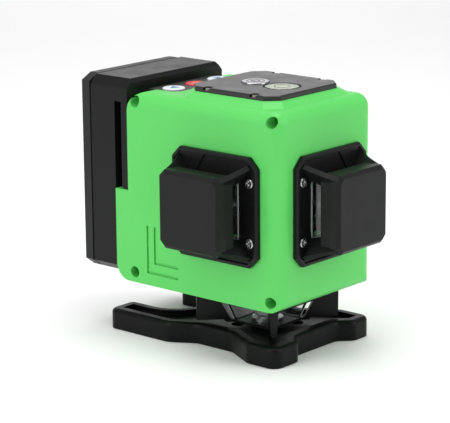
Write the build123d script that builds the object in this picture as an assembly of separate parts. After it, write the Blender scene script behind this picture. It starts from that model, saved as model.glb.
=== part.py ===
from build123d import *
import os
from math import radians, sin, cos, sqrt

# Self-levelling cross-line laser with three cone-prism modules, a slide-on battery and a
# low stand. Millimetres, +Z up. The origin is on the ground, on the stand's swivel axis.
# -Y is the front face, -X the face with the side module, +Y carries the battery.

# ---- Driving dimensions -------------------------------------------------------------
# Housing
body_width = 70.2
body_front_y = -36.0
body_rear_y = 56.5
body_bottom_z = 26.5
body_top_z = 119.0
wall = 2.5
front_corner_r = 7.0
top_edge_r = 6.5
bottom_front_r = 6.0
rear_top_r = 10.0
cheek_rear_y = 64.7
cheek_top_z = 71.0
cheek_wall = 2.7
cheek_corner_r = 8.0
half_width = body_width / 2

# Laser modules: a side one on the left wall, a front one, and one that looks down
module_x = 0.8
module_y = 0.65
module_z = 71.9
seam_x = -1.5
fit_gap = 0.05

# Lens hoods of the front and side modules, in their own frame (w points outwards)
flange_half = 25.7
flange_chamfer = 4.9
flange_t = 2.6
rim_width = 1.7
window_half = 14.6
plate_half = 18.45
plate_chamfer = 3.3
plate_back_w = 9.8
plate_step_w = 15.2
plate_front_w = 20.3
plate_bevel = 1.7
hood_screw_u = 21.3
hood_screw_v = 14.0
glass_base_half = 14.3
glass_tip_half = 11.0
glass_t = 1.5
wall_window_half = 12.2

# Bottom hood
foot_flange_half = 24.5
foot_flange_chamfer = 4.0
foot_flange_t = 4.2
leg_outer_r = 33.8
leg_foot_z = 10.8
cap_bottom_z = 9.4
cap_top_z = 10.6
cap_half = 12.4
foot_glass_base_half = 16.35
foot_glass_tip_half = 11.35

# Top pedestal, cover plate, vial and power button
pedestal_half = 30.3
pedestal_top_z = 121.7
cover_half = 26.0
cover_chamfer = 5.6
cover_top_z = 124.0
cover_y = 0.8
button_xy = (-0.5, 6.3)
button_r = 6.5
button_travel = 0.8
vial_xy = (-1.3, -10.3)
vial_r = 8.2
vial_groove_r = 9.0
cover_screw_ys = (-13.6, 14.4)

# Keypad
keypad_half_x = 23.4
keypad_front_y = 35.3
keypad_rear_y = 52.9
keypad_top_z = 118.9
key_y = 43.6
key_pitch = 16.0
key_r = 5.4
key_top_z = 119.4

# Battery
battery_half_x = 34.2
battery_bottom_z = 28.8
battery_top_z = 124.0
battery_main_y = 65.3
battery_split_y = 81.1
battery_rear_y = 87.5
battery_groove = 1.0
tongue_front_y = 57.1
tongue_rear_y = 61.1
slot_top_z = 113.0
neck_half_x = 29.2
cell_r = 9.25
cell_length = 65.0
cell_pitch = 19.0

# Pendulum: gimbal pivot, barrels, glass tubes
pivot_z = 98.0
barrel_r = 6.5
block_half = 8.0
ring_inner = 11.5
ring_outer = 14.5
pin_r = 1.5
bearing_r = 3.0
tube_r = 6.5
tube_wall = 1.0
foot_tube_r = 5.5
foot_tube_end_z = 13.5
weight_x_end = 23.8
weight_y_end = 22.0
magnet_t = 3.0

# Stand
stand_rim_z = 10.0
stand_edge_z = 0.3
dish_z = 7.8
stand_skin = 2.6
stud_r = 3.1
insert_bore_r = 3.175
stand_hole_offset = 10.0
stand_hole_r = 3.2
stand_foot_xy = ((-27.8, -26.7), (27.8, -26.7), (-26.0, 64.0), (26.0, 64.0))

# Long housing screws: (y, z) of each axis
housing_screw_yz = ((51.5, 114.35), (-31.0, 114.4), (52.9, 31.6), (-30.5, 31.3))
housing_screw_seat_x = -26.0

# Transport lock on the right wall: centre of its lower position, and its travel
lock_y = 12.0
lock_z = 44.0
lock_travel = 7.0

FRONT = Plane(origin=(module_x, body_front_y, module_z), x_dir=(1, 0, 0), z_dir=(0, -1, 0))
SIDE = Plane(origin=(-half_width, module_y, module_z), x_dir=(0, -1, 0), z_dir=(-1, 0, 0))
FOOT = Plane(origin=(0, 0, body_bottom_z), x_dir=(1, 0, 0), z_dir=(0, 0, -1))


# ---- Helpers ------------------------------------------------------------------------
def block(x0, x1, y0, y1, z0, z1):
    middle = Pos((x0 + x1) / 2, (y0 + y1) / 2, (z0 + z1) / 2)
    return middle * Box(x1 - x0, y1 - y0, z1 - z0)


def rod_z(radius, z0, z1, x=0.0, y=0.0):
    return Pos(x, y, (z0 + z1) / 2) * Cylinder(radius, z1 - z0)


def rod_x(radius, x0, x1, y, z):
    return Pos((x0 + x1) / 2, y, z) * Rot(0, 90, 0) * Cylinder(radius, x1 - x0)


def rod_y(radius, y0, y1, x, z):
    return Pos(x, (y0 + y1) / 2, z) * Rot(90, 0, 0) * Cylinder(radius, y1 - y0)


def octagon(half, corner):
    near, far = half - corner, half
    points = [(near, -far), (far, -near), (far, near), (near, far)]
    points += [(-x, -y) for x, y in points]
    return Polygon(*points, align=None)


def prism(half, corner, z0, z1):
    return Pos(0, 0, z0) * extrude(octagon(half, corner), z1 - z0)


def frustum(half0, half1, z0, z1):
    bottom = Pos(0, 0, z0) * Rectangle(2 * half0, 2 * half0)
    top = Pos(0, 0, z1) * Rectangle(2 * half1, 2 * half1)
    return loft([bottom, top])


def pan_screw(head_r, head_t, shank_r, length):
    """A pan-head screw along -Z with its head's underside at z = 0."""
    head = Pos(0, 0, head_t / 2) * Cylinder(head_r, head_t)
    head = fillet(head.edges().sort_by(Axis.Z)[-1], head_t * 0.4)
    shank = Pos(0, 0, -length / 2) * Cylinder(shank_r, length)
    cross = Box(head_r * 1.2, head_r * 0.34, head_t) + Box(head_r * 0.34, head_r * 1.2, head_t)
    return head + shank - Pos(0, 0, head_t) * cross


# ---- Housing ------------------------------------------------------------------------
def side_profile(inset):
    """The housing seen from the side: round at the front foot and the rear top."""
    y0, y1 = body_front_y + inset, body_rear_y - inset
    z0, z1 = body_bottom_z + inset, body_top_z - inset
    shape = block(-half_width - 5, half_width + 5, y0, y1, z0, z1)
    along = shape.edges().filter_by(Axis.X)
    low_front = along.sort_by(lambda e: e.center().Y + e.center().Z)[0]
    shape = fillet(low_front, bottom_front_r - inset)
    along = shape.edges().filter_by(Axis.X)
    high_rear = along.sort_by(lambda e: e.center().Y + e.center().Z)[-1]
    return fillet(high_rear, rear_top_r - inset)


def housing_block(inset):
    """The housing's solid outline, shrunk by inset on every side."""
    y0, y1 = body_front_y + inset, body_rear_y - inset
    z0, z1 = body_bottom_z + inset, body_top_z - inset
    shape = block(-half_width + inset, half_width - inset, y0, y1, z0, z1)
    front_corners = shape.edges().filter_by(Axis.Z).group_by(Axis.Y)[0]
    shape = fillet(front_corners, front_corner_r - inset)
    top_face = shape.faces().sort_by(Axis.Z)[-1]
    rim = [e for e in top_face.edges() if e.center().Y < y1 - 1]
    shape = fillet(rim, top_edge_r - inset)
    return shape & side_profile(inset)


def pedestal():
    low = Pos(0, 0, body_top_z - 1) * octagon(pedestal_half + 1.4, cover_chamfer + 1.6)
    high = Pos(0, 0, pedestal_top_z) * octagon(cover_half + 0.3, cover_chamfer + 0.2)
    return Pos(0, cover_y, 0) * loft([low, high])


def battery_rails():
    """Cheeks beside the battery tongue, their inner lips and the shelf under it."""
    rails = Part()
    lip_y0 = tongue_rear_y + 0.3
    for side in (-1, 1):
        outer = side * half_width
        inner = side * (half_width - cheek_wall)
        lip_end = side * (neck_half_x + 0.4)
        cheek = block(min(outer, inner), max(outer, inner), body_rear_y - wall, cheek_rear_y,
                      body_bottom_z, cheek_top_z)
        lip = block(min(inner, lip_end), max(inner, lip_end), lip_y0, cheek_rear_y,
                    body_bottom_z, cheek_top_z)
        rails += cheek + lip
    shelf_top = battery_bottom_z - 0.3
    rails += block(-half_width, half_width, body_rear_y - wall, cheek_rear_y, body_bottom_z, shelf_top)
    limit = block(-half_width, half_width, body_rear_y - wall, cheek_rear_y, body_bottom_z, cheek_top_z)
    along = limit.edges().filter_by(Axis.X)
    low_rear = along.sort_by(lambda e: e.center().Y - e.center().Z)[-1]
    return rails & fillet(low_rear, cheek_corner_r)


def corner_grooves():
    """The two nested L-shaped grooves low on the side wall."""
    cuts = Part()
    depth = 0.9
    width = 1.3
    for y_up, z_along, y_end, z_end in ((44.3, 32.9, 25.0, 55.5), (39.7, 38.0, 25.0, 55.5)):
        x0, x1 = -half_width - 1, -half_width + depth
        cuts += block(x0, x1, y_up - width / 2, y_up + width / 2, z_along, z_end)
        cuts += block(x0, x1, y_end, y_up + width / 2, z_along - width / 2, z_along + width / 2)
    return cuts


def housing_whole():
    shell = housing_block(0) - housing_block(wall)
    # A solid pedestal closes the top; the cover plate screws down on it.
    shell += pedestal() & block(-40, 40, -40, 40, body_top_z - wall, pedestal_top_z)
    shell += battery_rails()
    for y, z in housing_screw_yz:
        boss = rod_x(3.7, -half_width + 1, half_width - 1, y, z)
        shell += boss & housing_block(0.5)
    shell -= Pos(0, 0, body_top_z - wall) * extrude(keypad_outline(fit_gap), wall + 2)
    shell -= rod_z(button_r + 0.9, body_top_z - wall - 1, pedestal_top_z + 1, *button_xy)
    shell -= rod_z(vial_r + 0.2, 118.2, pedestal_top_z + 1, *vial_xy)
    window = Box(2 * wall_window_half, 2 * wall_window_half, 12)
    shell -= FRONT * window
    shell -= SIDE * window
    shell -= FOOT * Box(26.8, 26.8, 12)
    for plane in (FRONT, SIDE, FOOT):
        for u in (-hood_screw_u, hood_screw_u):
            for v in (-hood_screw_v, hood_screw_v):
                shell -= plane * Pos(u, v, 0) * Cylinder(1.1, 12)
    for y, z in housing_screw_yz:
        shell -= rod_x(2.7, -half_width - 1, housing_screw_seat_x, y, z)
        shell -= rod_x(1.55, housing_screw_seat_x - 1, half_width - 8, y, z)
    for x in (-cover_half + 1.6, cover_half - 1.6):
        for y in cover_screw_ys:
            shell -= rod_z(0.95, body_top_z - wall + 1, pedestal_top_z + 1, x, y)
    shell -= block(half_width - 5, half_width + 1, lock_y - 2.2, lock_y + 2.2,
                   lock_z - 3.2, lock_z + lock_travel + 3.2)
    return shell - corner_grooves()


def housing_shells():
    whole = housing_whole()
    left = whole & block(-50, seam_x, -60, 90, 0, 140)
    right = whole & block(seam_x, 50, -60, 90, 0, 140)
    return left, right


def housing_screws():
    return [Pos(housing_screw_seat_x, y, z) * Rot(0, -90, 0) * pan_screw(2.5, 1.8, 1.5, 48)
            for y, z in housing_screw_yz]


# ---- Lens hoods ---------------------------------------------------------------------
def hood_web(thickness):
    """One corner web: a rib on the diagonal that runs from the flange onto the plate's corner."""
    outline = Polygon((20.45, 0.5), (30.9, 0.5), (30.3, flange_t), (26.6, 10.3), (24.2, 17.0),
                      (23.6, 18.4), (20.0, 18.4), (20.0, 11.5), (16.3, 10.3), align=None)
    return extrude(Plane.XZ * outline, thickness / 2, both=True)


def lens_hood():
    flange = prism(flange_half, flange_chamfer, 0, flange_t)
    front_rim = flange.faces().sort_by(Axis.Z)[-1].edges()
    flange = chamfer(front_rim, 0.7)
    rim_inner = flange_half - rim_width
    floor_w = 1.0
    recess = prism(rim_inner, flange_chamfer - 1.0, floor_w, flange_t + 1)
    # Corner pads stay proud of the recess floor and carry the screws.
    pad = prism(rim_inner, flange_chamfer - 1.0, floor_w, floor_w + 0.6)
    pads = Part()
    for quarter in range(4):
        wedge = Rot(0, 0, 90 * quarter) * extrude(
            Polygon((15.8, 11.0), (24.5, 5.6), (24.5, 24.5), (5.6, 24.5), (11.0, 15.8),
                    align=None), 5)
        pads += pad & wedge
    flange -= recess
    flange += pads
    flange -= Box(2 * window_half, 2 * window_half, 10)
    plate = prism(plate_half, plate_chamfer, plate_step_w, plate_front_w)
    plate = chamfer(plate.faces().sort_by(Axis.Z)[-1].edges(), plate_bevel)
    plate += prism(plate_half - 0.3, plate_chamfer, plate_back_w, plate_step_w)
    hollow_half = glass_tip_half - glass_t + 0.6
    plate -= frustum(hollow_half, hollow_half - 0.4, plate_back_w - 1, plate_front_w - 2.2)
    plate -= frustum(glass_tip_half + 0.35, glass_tip_half + 0.15, plate_back_w - 0.2, plate_back_w + 0.6)
    hood = flange + plate
    for quarter in range(4):
        hood += Rot(0, 0, 45 + 90 * quarter) * hood_web(2.4)
    for u in (-hood_screw_u, hood_screw_u):
        for v in (-hood_screw_v, hood_screw_v):
            hood -= Pos(u, v, 0) * Cylinder(1.25, 10)
    return hood


def glass_panes(base_half, tip_half, w0, w1, thickness):
    """Four flat panes that form a hollow pyramid, mitred a hair apart at the corners."""
    shell = frustum(base_half, tip_half, w0, w1)
    shell -= frustum(base_half - thickness, tip_half - thickness, w0, w1)
    for angle in (45, 135):
        shell -= Rot(0, 0, angle) * Box(80, 0.2, 80)
    return shell


def hood_screws():
    length = 5.0
    seat_w = 1.6 + fit_gap
    return [Pos(u, v, seat_w) * pan_screw(2.25, 1.2, 1.05, length)
            for u in (-hood_screw_u, hood_screw_u) for v in (-hood_screw_v, hood_screw_v)]


def bottom_hood():
    """The downward hood: flange, four diagonal legs and a small cap under the glass."""
    cap_w0, cap_w1 = body_bottom_z - cap_top_z, body_bottom_z - cap_bottom_z
    foot_w = body_bottom_z - leg_foot_z
    hood = prism(foot_flange_half, foot_flange_chamfer, 0, foot_flange_t)
    hood = chamfer(hood.faces().sort_by(Axis.Z)[-1].edges(), 0.6)
    hood -= Box(33.4, 33.4, 20)
    hood += prism(cap_half, 1.5, cap_w0, cap_w1)
    outline = Polygon((24.2, 1.0), (leg_outer_r, 1.0), (leg_outer_r, foot_w), (21.0, foot_w),
                      (19.6, cap_w1), (12.0, cap_w1), (12.0, cap_w0), (17.0, cap_w0),
                      (18.0, foot_w - 0.8), (24.2, 3.0), align=None)
    taper = Polygon((-2.2, 0), (2.2, 0), (1.1, cap_w1), (-1.1, cap_w1), align=None)
    leg = extrude(Plane.XZ * outline, 5, both=True)
    leg &= Rot(0, 0, 90) * extrude(Plane.XZ * taper, 60, both=True)
    for quarter in range(4):
        hood += Rot(0, 0, 45 + 90 * quarter) * leg
    hood -= Pos(0, 0, (cap_w0 + cap_w1) / 2) * Cylinder(4.55, 5)
    for u in (-hood_screw_u, hood_screw_u):
        for v in (-hood_screw_v, hood_screw_v):
            hood -= Pos(u, v, 0) * Cylinder(1.25, 10)
            hood -= Pos(u, v, foot_flange_t) * Cylinder(2.4, 2 * (foot_flange_t - 1.6))
    return hood


def thread_insert():
    flange = rod_z(7.0, cap_top_z + fit_gap, 12.0)
    barrel = rod_z(4.5, cap_bottom_z, 12.3)
    return flange + barrel - rod_z(insert_bore_r, 0, 20)


# ---- Top cover, vial, buttons, keypad -----------------------------------------------
def cover_plate():
    plate = Pos(0, cover_y, 0) * prism(cover_half, cover_chamfer, pedestal_top_z, cover_top_z)
    plate = chamfer(plate.faces().sort_by(Axis.Z)[-1].edges(), 0.5)
    plate -= rod_z(button_r + 0.3, 100, 140, *button_xy)
    plate -= rod_z(vial_r + 0.05, 100, 140, *vial_xy)
    plate -= rod_z(vial_groove_r, cover_top_z - 0.9, 140, *vial_xy)
    for side in (-1, 1):
        x = side * (cover_half - 1.6)
        for y in cover_screw_ys:
            edge = side * (cover_half + 2)
            notch = rod_z(2.1, cover_top_z - 1.3, 140, x, y)
            notch += block(min(x, edge), max(x, edge), y - 2.1, y + 2.1, cover_top_z - 1.3, 140)
            plate -= notch + rod_z(1.05, 100, 140, x, y)
    return plate


def cover_screws():
    return [Pos(x, y, cover_top_z - 1.3) * pan_screw(1.7, 0.9, 0.9, 4.0)
            for x in (-cover_half + 1.6, cover_half - 1.6) for y in cover_screw_ys]


def power_button():
    button = rod_z(button_r, 120.0, cover_top_z + 0.6, *button_xy)
    button = fillet(button.edges().sort_by(Axis.Z)[-1], 0.5)
    return button + rod_z(button_r + 0.5, 119.0, 120.6, *button_xy)


def vial():
    body = rod_z(vial_r, 118.4, cover_top_z, *vial_xy)
    body = fillet(body.edges().sort_by(Axis.Z)[-1], 0.5)
    return body - rod_z(vial_r - 1.4, 119.6, cover_top_z - 1.2, *vial_xy)


def vial_fluid():
    return rod_z(vial_r - 1.45, 119.65, cover_top_z - 1.25, *vial_xy)


def key_positions():
    return [(-key_pitch, key_y), (0.0, key_y), (key_pitch, key_y)]


def keypad_outline(grow):
    corner = 3.0
    x, front, rear = keypad_half_x + grow, keypad_front_y - grow, keypad_rear_y + grow
    return Polygon((-x, rear), (-x, front + corner), (-x + corner, front), (x - corner, front),
                   (x, front + corner), (x, rear), align=None)


def keypad_panel():
    panel_bottom = body_top_z - wall + fit_gap
    panel = Pos(0, 0, panel_bottom) * extrude(keypad_outline(0), keypad_top_z - panel_bottom)
    for x in (-20.5, 8.0, 20.5):
        panel += rod_z(1.2, 115.05, panel_bottom + 0.5, x, keypad_front_y + 2.4)
    for x, y in key_positions():
        panel -= rod_z(key_r + 0.3, 100, 140, x, y)
    return panel


def key(x, y):
    cap = rod_z(key_r, 117.2, key_top_z, x, y)
    cap = fillet(cap.edges().sort_by(Axis.Z)[-1], 0.5)
    return cap + rod_z(2.5, 116.6, 117.5, x, y)


def key_mat():
    mat = block(-21.5, 21.5, keypad_front_y + 4.2, 46.2, 115.0, 115.5)
    for x, y in key_positions():
        mat += rod_z(2.2, 115.2, 116.05, x, min(y, 43.6))
    return mat


def key_board():
    return block(-22.0, 22.0, keypad_front_y + 0.6, 46.2, 113.4, 115.0)


# ---- Battery ------------------------------------------------------------------------
def battery_outline(half, z0, z1, top_run, top_drop, low_run, low_rise):
    return Polygon((-half + low_run, z0), (half - low_run, z0), (half, z0 + low_rise),
                   (half, z1 - top_drop), (half - top_run, z1), (-half + top_run, z1),
                   (-half, z1 - top_drop), (-half, z0 + low_rise), align=None)


def battery_solid(inset, y0, y1, top_run=3.8, top_drop=4.3):
    outline = battery_outline(battery_half_x - inset, battery_bottom_z + inset,
                              battery_top_z - inset, top_run, top_drop, 5.5, 4.0)
    return Pos(0, y1, 0) * extrude(Plane.XZ * outline, y1 - y0)


def battery_whole():
    groove_y0 = battery_split_y - battery_groove / 2
    groove_y1 = battery_split_y + battery_groove / 2
    rear = battery_solid(0, groove_y1, battery_rear_y, 6.1, 3.1)
    rear = chamfer(rear.faces().sort_by(Axis.Y)[-1].edges(), 1.0)
    body = battery_solid(0, battery_main_y, groove_y0) + rear
    body += battery_solid(0.8, groove_y0 - 1, groove_y1 + 1, 6.1, 4.3)
    head = battery_solid(0, tongue_front_y, battery_main_y + 1)
    head &= block(-40, 40, tongue_front_y, 70, slot_top_z, 130)
    tongue = battery_solid(0, tongue_front_y, tongue_rear_y)
    inset_x = half_width - cheek_wall - 0.3
    for side in (-1, 1):
        low, high = sorted((side * inset_x, side * 40))
        tongue -= block(low, high, 40, 70, 20, cheek_top_z + 0.4)
    neck = battery_solid(0, tongue_rear_y - 1, battery_main_y + 1)
    neck &= block(-neck_half_x, neck_half_x, 40, 80, 20, 130)
    body += head + tongue + neck
    front_top = [e for e in body.edges().filter_by(Axis.X)
                 if e.center().Y < tongue_front_y + 0.1 and e.center().Z > battery_top_z - 0.1]
    return chamfer(front_top, 1.1, 2.0)


def battery_cavity():
    cavity = battery_solid(2.0, battery_main_y + 2.0, battery_rear_y - 2.0, 7.0, 5.0)
    cavity += block(-26.9, 26.9, 59.0, battery_main_y + 3, 34.0, 110.0)
    return cavity


def battery_halves():
    hollow = battery_whole() - battery_cavity()
    front = hollow & block(-50, 50, 40, battery_split_y, 20, 130)
    rear = hollow & block(-50, 50, battery_split_y, 100, 20, 130)
    for x in (-29.0, 29.0):
        for z in (38.0, 114.0):
            post = rod_y(2.6, battery_main_y + 1.5, battery_split_y, x, z)
            front += post - rod_y(1.0, battery_split_y - 9, battery_split_y + 1, x, z)
            rear -= rod_y(1.25, battery_split_y - 1, 90, x, z)
            rear -= rod_y(2.4, battery_rear_y - 1.5, 90, x, z)
    for x in (-9, -3, 3, 9):
        front -= block(x - 1.3, x + 1.3, tongue_front_y - 1, tongue_front_y + 0.8, 36.0, 46.0)
    return front, rear


def battery_screws():
    return [Pos(x, battery_rear_y - 1.45, z) * Rot(-90, 0, 0) * pan_screw(2.1, 1.2, 0.95, 9.0)
            for x in (-29.0, 29.0) for z in (38.0, 114.0)]


def battery_cells():
    low = 44.0
    return [rod_z(cell_r, low, low + cell_length, x, 73.6)
            for x in (-cell_pitch, 0.0, cell_pitch)]


def battery_contacts():
    return [block(x - 1.25, x + 1.25, tongue_front_y + 0.05, tongue_front_y + 0.75, 36.05, 45.95)
            for x in (-9, -3, 3, 9)]


# ---- Pendulum and gimbal ------------------------------------------------------------
def gimbal_bracket():
    """Hangs from the housing top and carries the two outer bearings."""
    bracket = block(-15, 15, -20.5, 20.5, 107.5, 110.0)
    for x in (-12, 12):
        for y in (-15, 17.6):
            bracket += rod_z(2.6, 109, body_top_z - wall, x, y)
    for side in (-1, 1):
        y0, y1 = sorted((side * 17.0, side * 20.5))
        bracket += block(-6, 6, y0, y1, 93.0, 108.5)
    bracket -= rod_y(bearing_r, -30, 30, 0, pivot_z)
    return bracket


def bearing_pair(axis_rod, near, far):
    """Two plain rings on one axis, mirrored about the pivot."""
    rings = []
    for side in (-1, 1):
        low, high = sorted((side * near, side * far))
        ring = axis_rod(bearing_r, low, high, 0, pivot_z)
        rings.append(ring - axis_rod(pin_r + 0.05, low - 1, high + 1, 0, pivot_z))
    return rings


def gimbal_ring():
    ring = prism(ring_outer, 3.0, pivot_z - 4, pivot_z + 4)
    ring -= prism(ring_inner, 2.0, pivot_z - 5, pivot_z + 5)
    ring -= rod_x(bearing_r, -30, 30, 0, pivot_z)
    for side in (-1, 1):
        low, high = sorted((side * (ring_inner + 1), side * 20.3))
        ring += rod_y(pin_r, low, high, 0, pivot_z)
    return ring


def pendulum_block():
    body = block(-block_half, block_half, -block_half, block_half, 62.0, 103.0)
    vertical = body.edges().filter_by(Axis.Z)
    body = chamfer(vertical, 1.2)
    for side in (-1, 1):
        low, high = sorted((side * (block_half - 2), side * (ring_outer - 0.2)))
        body += rod_x(pin_r, low, high, 0, pivot_z)
    return body


def side_barrel():
    return rod_x(barrel_r, -half_width + 1.0, -block_half, module_y, module_z)


def front_barrel():
    return rod_y(barrel_r, body_front_y + 1.0, -block_half, module_x, module_z)


def foot_barrel():
    return rod_z(barrel_r, 28.0, 62.0)


def lens_tube(radius, length):
    """A glass tube along +Z from z = 0 with its far end closed by the prism's seat."""
    tube = Pos(0, 0, length / 2) * Cylinder(radius, length)
    return tube - Pos(0, 0, length / 2) * Cylinder(radius - tube_wall, length)


def cone_prism(radius, length):
    """A glass cone with a short cylindrical seat; its tip looks back at the laser."""
    seat = 2.0
    cone = Pos(0, 0, (length - seat) / 2) * Cone(0.4, radius, length - seat)
    return cone + Pos(0, 0, length - seat / 2) * Cylinder(radius, seat)


def prism_sets():
    """Tube and cone of each module, placed at the end of its barrel."""
    reach = 14.5 + 1.0
    inner = tube_r - tube_wall - fit_gap
    seat = Pos(0, 0, -1.0)
    sets = {}
    for name, plane in (("front", FRONT), ("side", SIDE)):
        tube = plane * seat * lens_tube(tube_r, reach)
        cone = plane * seat * Pos(0, 0, reach - 8.5) * cone_prism(inner, 8.5)
        sets[name] = (tube, cone)
    foot_reach = 28.0 - foot_tube_end_z
    down = Plane(origin=(0, 0, 28.0), x_dir=(1, 0, 0), z_dir=(0, 0, -1))
    tube = down * lens_tube(foot_tube_r, foot_reach)
    foot_inner = foot_tube_r - tube_wall - fit_gap
    cone = down * Pos(0, 0, foot_reach - 7.5) * cone_prism(foot_inner, 7.5)
    sets["bottom"] = (tube, cone)
    return sets


def balance_weights():
    """Brass rods opposite the two side barrels, so the pendulum hangs plumb."""
    right = rod_x(barrel_r, block_half, weight_x_end, module_y, module_z)
    back = rod_y(barrel_r, block_half, weight_y_end, module_x, module_z)
    return [right, back]


def damper_magnet():
    return rod_y(6.0, weight_y_end, weight_y_end + magnet_t, module_x, module_z)


def damper_plate():
    """Copper plate in front of the magnet, on a foot on the housing floor."""
    floor_z = body_bottom_z + wall
    near_y = weight_y_end + magnet_t + 2.0
    upright = block(-13, 13, near_y, near_y + 1.5, floor_z, 86)
    return upright + block(-13, 13, near_y, near_y + 9, floor_z, floor_z + 1.5)


def main_board():
    board = block(-28, 28, 48.6, 50.2, 40, 104)
    for x in (-24, 24):
        for z in (44, 100):
            board -= rod_y(1.2, 40, 60, x, z)
    return board


def board_posts():
    """Pegs that hold the main board off the rear wall."""
    return [rod_y(1.15, 48.0, body_rear_y - wall, x, z) + rod_y(2.4, 50.2, body_rear_y - wall, x, z)
            for x in (-24, 24) for z in (44, 100)]


def transport_lock():
    slider = block(half_width + 0.1, half_width + 2.6, lock_y - 5, lock_y + 5, lock_z - 6, lock_z + 6)
    outer_face = slider.faces().sort_by(Axis.X)[-1]
    slider = chamfer(outer_face.edges(), 0.8)
    for step in (-3, 0, 3):
        slider -= block(half_width + 2.1, half_width + 4, lock_y - 3.6, lock_y + 3.6,
                        lock_z + step - 0.5, lock_z + step + 0.5)
    stem = block(half_width - 4.5, half_width + 1, lock_y - 2.0, lock_y + 2.0, lock_z - 3, lock_z + 3)
    keeper = block(half_width - 4.5, half_width - wall - 0.2, lock_y - 4.5, lock_y + 4.5,
                   lock_z - 3, lock_z + 3)
    return slider + stem + keeper


# ---- Stand --------------------------------------------------------------------------
def stand_outline(shrink=0.0):
    """Two front lobes, a waist and two rear arms with a round gap between them."""
    corners = [((17.5, -28.0), 5.0), ((23.5, -34.2), 5.0), ((36.6, -34.2), 5.0),
               ((36.6, -17.0), 5.0), ((27.0, -1.0), 8.0), ((27.0, 21.0), 8.0),
               ((34.3, 33.5), 8.0), ((34.3, 72.0), 4.5), ((-34.3, 72.0), 4.5),
               ((-34.3, 33.5), 8.0), ((-27.0, 21.0), 8.0), ((-27.0, -1.0), 8.0),
               ((-35.3, -17.0), 5.0), ((-35.3, -34.2), 5.0),
               ((-19.0, -34.2), 5.0), ((-12.5, -28.0), 5.0)]
    face = make_face(Polyline(*[point for point, radius in corners], close=True))
    for (x, y), radius in corners:
        vertex = min(face.vertices(), key=lambda v: abs(v.X - x) + abs(v.Y - y))
        face = fillet(vertex, radius)
    gap = Pos(0, 57.5) * Circle(17.0) + Pos(0, 57.5 + 20) * Rectangle(34.0, 40.0)
    face -= gap
    ends = [v for v in face.vertices() if v.Y > 71.9 and abs(v.X) < 18]
    face = fillet(ends, 4.0)
    if shrink:
        face = offset(face, -shrink, kind=Kind.INTERSECTION)
    return face


def stand_moulding():
    body = Pos(0, 0, stand_edge_z) * extrude(stand_outline(), stand_rim_z - stand_edge_z)
    body = fillet(body.faces().sort_by(Axis.Z)[-1].edges(), 2.2)
    dish = Pos(0, 0, dish_z) * extrude(stand_outline(5.0), 5)
    body -= dish
    hollow = Pos(0, 0, -1) * extrude(stand_outline(stand_skin), dish_z - stand_skin + 1)
    body -= hollow
    for x, y in ((-stand_hole_offset, stand_hole_offset), (stand_hole_offset, -stand_hole_offset)):
        body += rod_z(4.7, 0, dish_z, x, y)
        body -= rod_z(stand_hole_r, -5, 20, x, y)
    for x, y in stand_foot_xy:
        body += rod_z(5.2, 1.65, dish_z - 1, x, y)
    body += rod_z(6.5, dish_z - stand_skin, dish_z + 0.7)
    return body - rod_z(insert_bore_r, 0, 20)


def rubber_feet():
    return [rod_z(4.6, 0, 1.6, x, y) for x, y in stand_foot_xy]


def clamp_screw():
    """Captive quarter-inch screw with a knurled thumb head under the stand."""
    head_bottom, head_top = 0.9, dish_z - stand_skin - 0.3
    head = rod_z(9.0, head_bottom, head_top)
    flutes = 16
    for i in range(flutes):
        angle = radians(360 / flutes * i)
        head -= rod_z(0.9, 0, 10, 9.3 * cos(angle), 9.3 * sin(angle))
    head -= block(-7, 7, -0.8, 0.8, 0, head_bottom + 1.2)
    return head + rod_z(stud_r, head_top - 1, 12.2)


def retaining_ring():
    return rod_z(5.4, dish_z + 0.75, cap_bottom_z - 0.1) - rod_z(stud_r, 0, 20)


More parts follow.
